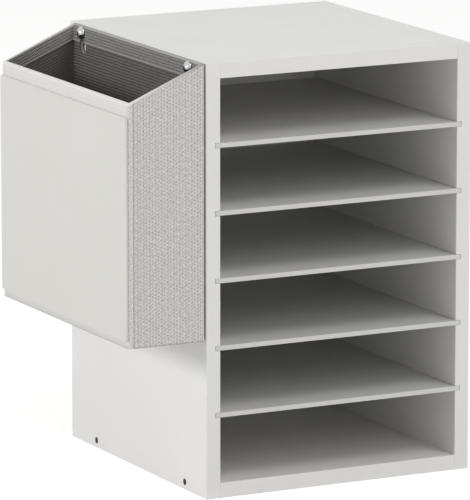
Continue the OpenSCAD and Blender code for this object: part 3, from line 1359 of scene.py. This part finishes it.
    def seam_stitches(self) -> Shape:
        """The thread that shows between the needle holes of the corner seams.

        Returns:
            All the stitches.
        """
        shape = bmesh.new()
        for y, way, degrees in ((self.front, 1, 25), (self.rear, -1, 70)):
            angle = radians(degrees)
            x = self.outer + self.corner * (1 - cos(angle))
            point = Vector((x, y + way * self.corner * (1 - sin(angle)), 0.0))
            first = ceil((self.bottom + 3 * MM) / self.stitch_pitch)
            last = floor((self.rim(point.x) - 5 * MM) / self.stitch_pitch)
            for number in range(first, last):
                middle = (number + 0.5) * self.stitch_pitch
                made = bmesh.ops.create_uvsphere(
                    shape, u_segments=8, v_segments=5, radius=1.0
                )["verts"]
                bmesh.ops.scale(shape, vec=(0.42 * MM, 0.42 * MM, 0.66 * MM), verts=made)
                bmesh.ops.translate(shape, vec=point + Vector((0, 0, middle)), verts=made)
        return shape

    def build(self) -> None:
        """Build every piece of the pocket."""
        cover = {
            "body": "pocket", "slot": "ribbed_fabric", "replaces": ["pocket_cover"],
            "smooth_deg": 60.0,
        }
        knit = {"finish": COVER_KNIT, **cover}
        close = {"finish": BINDING, **cover}
        Piece("cover_front_end", **knit).build(self.end_wall(self.front, -1))
        Piece("cover_rear_end", **knit).build(self.end_wall(self.rear, 1))
        Piece("cover_outer_wall", **close).build(self.outer_wall())
        Piece("cover_base", **knit).build(self.base())
        inner = Piece("cover_inner_wall", **knit).build(self.inner_wall())
        self.with_keyholes(inner, lambda inset, below: 0.8)
        for outer, front in ((True, True), (True, False), (False, True), (False, False)):
            side, end = ("outer" if outer else "inner"), ("front" if front else "rear")
            roll = Piece(f"cover_corner_{side}_{end}", **knit).build(
                self.corner_roll(outer, front)
            )
            wall = roll.modifiers.new("thickness", "SOLIDIFY")
            wall.thickness, wall.offset = 0.8 * MM, -1.0
        Piece("cover_rim_roll", **close).build(self.rim_roll())
        Piece("cover_seam_stitches", finish=THREAD, **cover).build(self.seam_stitches())
        lining = Piece(
            "lining_cup", "pocket", "lining_fabric", LINING_KNIT, ["pocket_lining"], 60.0
        )
        self.with_keyholes(lining.build(self.lining()), self.lining_pile)
        tape = Piece("rim_tape_ribbed", "pocket", "tape", TAPE, ["rim_tape"], 60.0)
        self.with_keyholes(tape.build(self.tape()), self.tape_pile)
        facing = eased_copy(
            "facing_panel", 0.6 * MM,
            lambda e: all(v.co.x < self.outer - 1.5 * MM for v in e.verts),
        )
        Piece(
            "facing_panel_covered", "pocket", "facing", FACING_CLOTH, ["facing_panel"]
        ).build(facing)
        for side in ("back", "outer", "front", "rear", "base"):
            dress_node(f"pocket_{side}_board", GREY_BOARD)
        dress_node("keyhole_plates", ZINC_STEEL)
        dress_node("pocket_pads", FELT)


@dataclass
class Hanging:
    """The studs that the pocket hangs on, their washers and inserts.

    Attributes:
        head: Radius of a head.
        neck: Radius of a neck.
        edge: Straight edge of a head.
        socket: Corner radius of the hexagon socket.
    """

    head: float = 7.0 * MM
    neck: float = 2.5 * MM
    edge: float = 0.8 * MM
    socket: float = 2.1 * MM

    def studs(self) -> None:
        """The two studs: a domed head with a hexagon socket, on a long neck."""
        low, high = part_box("hanging_studs")
        places = centres("hanging_studs")
        seat = low.x + 5.0 * MM
        rise = 5.0 * MM - self.edge
        ball = (self.head**2 + rise**2) / (2 * rise)
        widest = asin(self.head / ball)
        profile: Points = [
            (high.x, 0.0), (high.x, self.neck - 0.3 * MM), (high.x - 0.3 * MM, self.neck),
            (seat, self.neck), (seat, self.head - 0.15 * MM), (seat - 0.15 * MM, self.head),
        ]
        for step in range(17):
            angle = widest * (1 - step / 16)
            profile.append((low.x + ball * (1 - cos(angle)), ball * sin(angle)))
        profile[-1] = (low.x, 0.0)
        way = Vector((1, 0, 0))
        studs = Piece(
            "stud_domes_turned", "cabinet", "chrome", CHROME, ["hanging_studs"], 40.0
        ).build(gathered(turned(profile, way, place, 48) for place in places))
        cutter = bmesh.new()
        for place in places:
            bmesh.ops.create_cone(
                cutter,
                cap_ends=True,
                segments=6,
                radius1=self.socket,
                radius2=self.socket,
                depth=5 * MM,
                matrix=Matrix.Translation((low.x, place.y, place.z))
                @ Matrix.Rotation(pi / 2, 4, "Y"),
            )
        cut_away(studs, cutter)

    def build(self) -> None:
        """Build the studs and dress what holds them."""
        self.studs()
        dress_node("stud_washers", NYLON)
        dress_node("stud_inserts", BRASS)


@dataclass
class Softbox:
    """A soft studio lamp.

    Attributes:
        name: Its name.
        place: Where it stands.
        aim: What it is turned to.
        size: Its side.
        power: Its power in watts.
    """

    name: str
    place: Triple
    aim: Triple
    size: float
    power: float

    def build(self) -> None:
        """Set the lamp up."""
        lamp = bpy.data.lights.new(self.name, "AREA")
        lamp.shape, lamp.size, lamp.energy = "SQUARE", self.size, self.power
        aimed(self.name, lamp, self.place, Vector(self.aim) - Vector(self.place))


@dataclass
class Studio:
    """Floor, sky, lamps and camera.

    Attributes:
        sky: Strength of the white sky that lights the object.
        lens: Focal length in millimetres on a 36 mm sensor.
        yaw_deg: How far the camera stands to the left of the front.
        pitch_deg: How far it looks down.
        eye: Where it stands.
        paper_glow: Light that the floor adds for the camera alone, to read as white.
        lamps: The soft lamps.
    """

    sky: float = 0.54
    lens: float = 396.03
    yaw_deg: float = 26.992
    pitch_deg: float = 11.2286
    eye: Triple = (-2.6431, -5.1120, 1.3635)
    paper_glow: float = 0.46
    lamps: Sequence[Softbox] = (
        Softbox("left_softbox", (-3.1, 0.1, 1.18), (-0.2, 0, 0.2), 0.75, 39.0),
        Softbox("front_softbox_high", (0.6, -2.7, 1.75), (0, 0, 0.2), 1.2, 5.0),
        Softbox("front_softbox_low", (0.2, -3.3, 0.4), (0, 0, 0.2), 0.8, 11.0),
        Softbox("top_softbox", (0.7, -1.7, 2.9), (0, 0, 0.3), 1.2, 20.0),
    )

    def paper(self) -> None:
        """A white floor that keeps the object's shadow."""
        shape = bmesh.new()
        bmesh.ops.create_grid(shape, x_segments=1, y_segments=1, size=12.0)
        mesh = mesh_of(shape, "floor")
        made = bpy.data.materials.new("white_paper_floor")
        tree = cleared(made)
        place = add_node(tree, "TexCoord").outputs["Object"]
        grain = add_node(tree, "TexNoise", {"Vector": place, "Scale": 300.0, "Detail": 3.0})
        bump = add_node(tree, "Bump", {"Height": grain.outputs["Fac"], "Distance": 0.02 * MM})
        matt = add_node(
            tree, "BsdfDiffuse", {"Color": linear("ececeb"), "Normal": bump.outputs["Normal"]}
        )
        seen = add_node(tree, "LightPath").outputs["Is Camera Ray"]
        lift = add_node(tree, "Math", {0: seen, 1: self.paper_glow}, operation="MULTIPLY")
        glow = add_node(tree, "Emission", {"Strength": lift.outputs["Value"]})
        both = add_node(
            tree, "AddShader", {0: matt.outputs["BSDF"], 1: glow.outputs["Emission"]}
        )
        add_node(tree, "OutputMaterial", {"Surface": both.outputs["Shader"]})
        mesh.materials.append(made)
        placed("floor", mesh)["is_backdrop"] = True

    def world(self) -> None:
        """A white sky, seen as plain white and lighting at its own strength."""
        world = bpy.data.worlds.new("studio_white")
        bpy.context.scene.world = world
        tree = cleared(world)
        path = add_node(tree, "LightPath")
        seen = path.outputs["Is Camera Ray"]
        for kind in ("Is Glossy Ray", "Is Transmission Ray"):
            seen = add_node(
                tree, "Math", {0: seen, 1: path.outputs[kind]}, operation="MAXIMUM"
            ).outputs["Value"]
        lit = add_node(
            tree, "Background", {"Color": (1.0, 1.0, 1.0, 1.0), "Strength": self.sky}
        )
        white = add_node(tree, "Background", {"Color": (1.0, 1.0, 1.0, 1.0), "Strength": 1.0})
        mixed = add_node(
            tree, "MixShader",
            {0: seen, 1: lit.outputs["Background"], 2: white.outputs["Background"]},
        )
        add_node(tree, "OutputWorld", {"Surface": mixed.outputs["Shader"]})

    def camera(self) -> None:
        """The camera, level from side to side and looking down a little."""
        yaw, pitch = radians(self.yaw_deg), radians(self.pitch_deg)
        way = Vector((sin(yaw) * cos(pitch), cos(yaw) * cos(pitch), -sin(pitch)))
        data = bpy.data.cameras.new("camera")
        data.lens, data.sensor_width, data.sensor_fit = self.lens, 36.0, "AUTO"
        data.clip_start, data.clip_end = 0.1, 60.0
        bpy.context.scene.camera = aimed("camera", data, self.eye, way)

    def build(self) -> None:
        """Set the studio up."""
        bpy.context.scene.view_settings.view_transform = "Standard"
        self.camera()
        self.world()
        self.paper()
        for lamp in self.lamps:
            lamp.build()


def write_sizes(boxes: Iterable[tuple[Vector, Vector]]) -> None:
    """Turn the frame's box and the finished object's box into plain lists, and keep nothing."""
    [[list(corner) for corner in box] for box in boxes]


def main() -> None:
    """Build the studio and the object."""
    logging.basicConfig(level=logging.INFO, format="%(name)s: %(message)s")
    for part in (Studio(), Cabinet(), Pocket(), Hanging()):
        LOG.info("building %s", type(part).__name__)
        part.build()
    write_sizes([CAD_BOX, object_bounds()])


if __name__ == "__main__":
    main()
